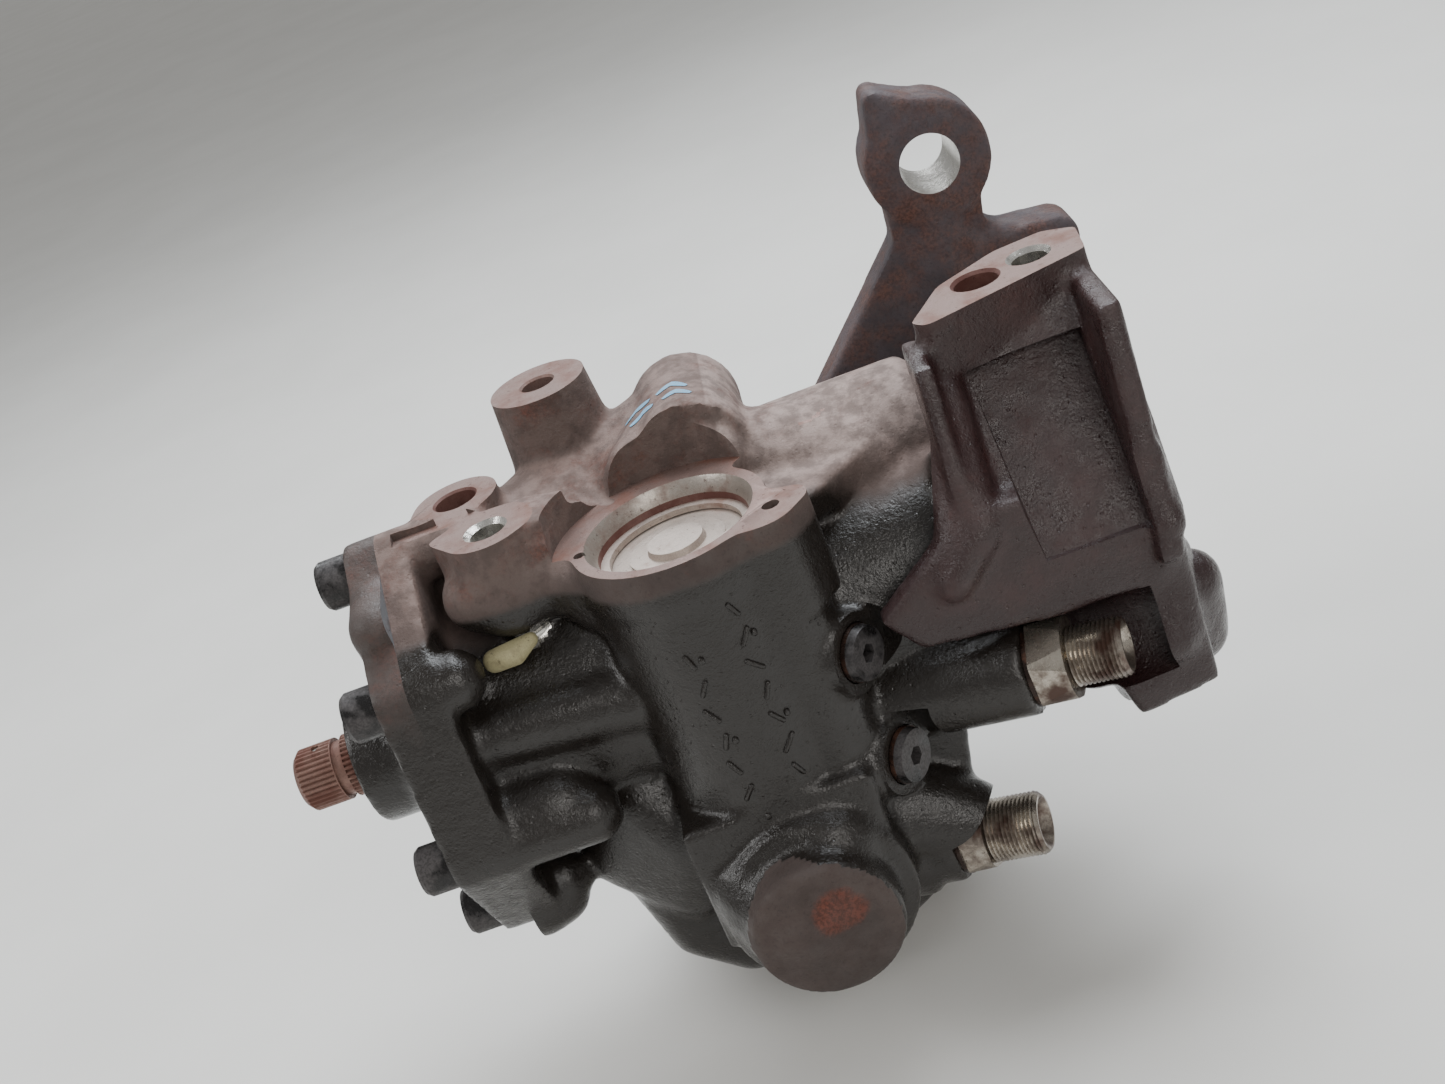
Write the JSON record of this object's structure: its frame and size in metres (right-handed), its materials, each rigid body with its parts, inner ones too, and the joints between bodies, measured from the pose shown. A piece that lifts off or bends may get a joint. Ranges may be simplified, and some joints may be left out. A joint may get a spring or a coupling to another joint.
{
  "type": "power steering gear",
  "caption": "Hydraulic power-steering gear with rack piston, gear sector, drop arm, splined input stub, two pipe unions and a side mounting bracket.",
  "frame": {"origin": "mouth of the tapped hole in the tall round mounting boss, on the boss's machined face", "axes": "+X along the input shaft from its serrated end into the gear, +Y along the output shaft towards the drop arm, +Z out of the machined mounting faces"},
  "size_m": [0.332, 0.2135, 0.2805],
  "materials": {
    "housing_iron": "oily cast iron with rust and dust",
    "bracket_iron": "oily red-brown cast iron",
    "arm_steel": "forged, dull brown-grey",
    "fastener_steel": "stained steel",
    "stub_steel": "rusted serrated steel",
    "bright_steel": "ground steel",
    "plug_steel": "machined, lightly rusted",
    "union_steel": "plated steel, worn",
    "black_rubber": "matt",
    "ring_plastic": "bronze-filled seal plastic",
    "copper": "dull copper"
  },
  "bodies": {
    "housing": {"gear_housing": "housing_iron", "end_bracket": "bracket_iron", "bracket_bolts": "fastener_steel", "bracket_seal": "black_rubber", "valve_cover": "housing_iron", "cover_bolts": "fastener_steel", "cover_seal": "black_rubber", "input_bearing": "bright_steel", "input_seal": "black_rubber", "input_dust_seal": "black_rubber", "worm_bearing_outer": "bright_steel", "sector_cover": "housing_iron", "sector_cover_bolts": "fastener_steel", "sector_cover_seal": "black_rubber", "sector_bearing_front": "bright_steel", "sector_bearing_rear": "bright_steel", "sector_thrust_washer": "copper", "sector_oil_seal": "black_rubber", "sector_dust_seal": "black_rubber", "column_plug": "plug_steel", "snap_ring": "plug_steel", "plug_seal": "black_rubber", "limiter_seat": "bright_steel", "pressure_fitting": "union_steel", "return_fitting": "union_steel", "fitting_washers": "copper", "port_plugs": "fastener_steel", "plug_washers": "copper", "limiter_spring": "bright_steel"},
    "output": {"sector_shaft": "bright_steel", "pitman_arm": "arm_steel", "pitman_nut": "fastener_steel", "pitman_washer": "fastener_steel"},
    "worm": {"worm_shaft": "bright_steel", "worm_bearing_inner": "bright_steel", "valve_sleeve": "bright_steel", "sleeve_rings": "ring_plastic", "torsion_bar": "bright_steel", "bar_pin_worm": "bright_steel"},
    "input": {"input_shaft": "stub_steel", "bar_pin_input": "bright_steel"},
    "piston": {"rack_piston": "bright_steel", "piston_ring": "ring_plastic", "ball_guides": "bright_steel", "guide_clamp": "fastener_steel", "clamp_screws": "fastener_steel", "steel_balls": "bright_steel", "piston_plug": "fastener_steel"},
    "spool": {"limiter_spool": "bright_steel"}
  },
  "joints": [
    {"name": "output_turn", "type": "hinge", "parent": "housing", "child": "output", "pos_m": [0.036, 0.0485, -0.166], "axis": [0, 1, 0], "range_deg": [-36, 36]},
    {"name": "piston_slide", "type": "slide", "parent": "housing", "child": "piston", "axis": [1, 0, 0], "range_m": [-0.029, 0.029]},
    {"name": "worm_turn", "type": "hinge", "parent": "housing", "child": "worm", "pos_m": [-0.024, -0.0465, -0.094], "axis": [1, 0, 0], "range_deg": [-802, 802]},
    {"name": "input_twist", "type": "hinge", "parent": "worm", "child": "input", "pos_m": [-0.114, -0.0465, -0.094], "axis": [1, 0, 0], "range_deg": [-4, 4], "stiffness_Nm_per_rad": 75},
    {"name": "spool_lift", "type": "slide", "parent": "housing", "child": "spool", "axis": [0, 0, 1], "range_m": [0, 0.004], "stiffness_N_per_m": 2000, "springref_m": -0.004, "deforming": ["limiter_spring"]}
  ],
  "couplings": [
    {"joint": "piston_slide", "follows": "output_turn", "m_per_rad": 0.046},
    {"joint": "worm_turn", "follows": "output_turn", "ratio": -22.233}
  ]
}
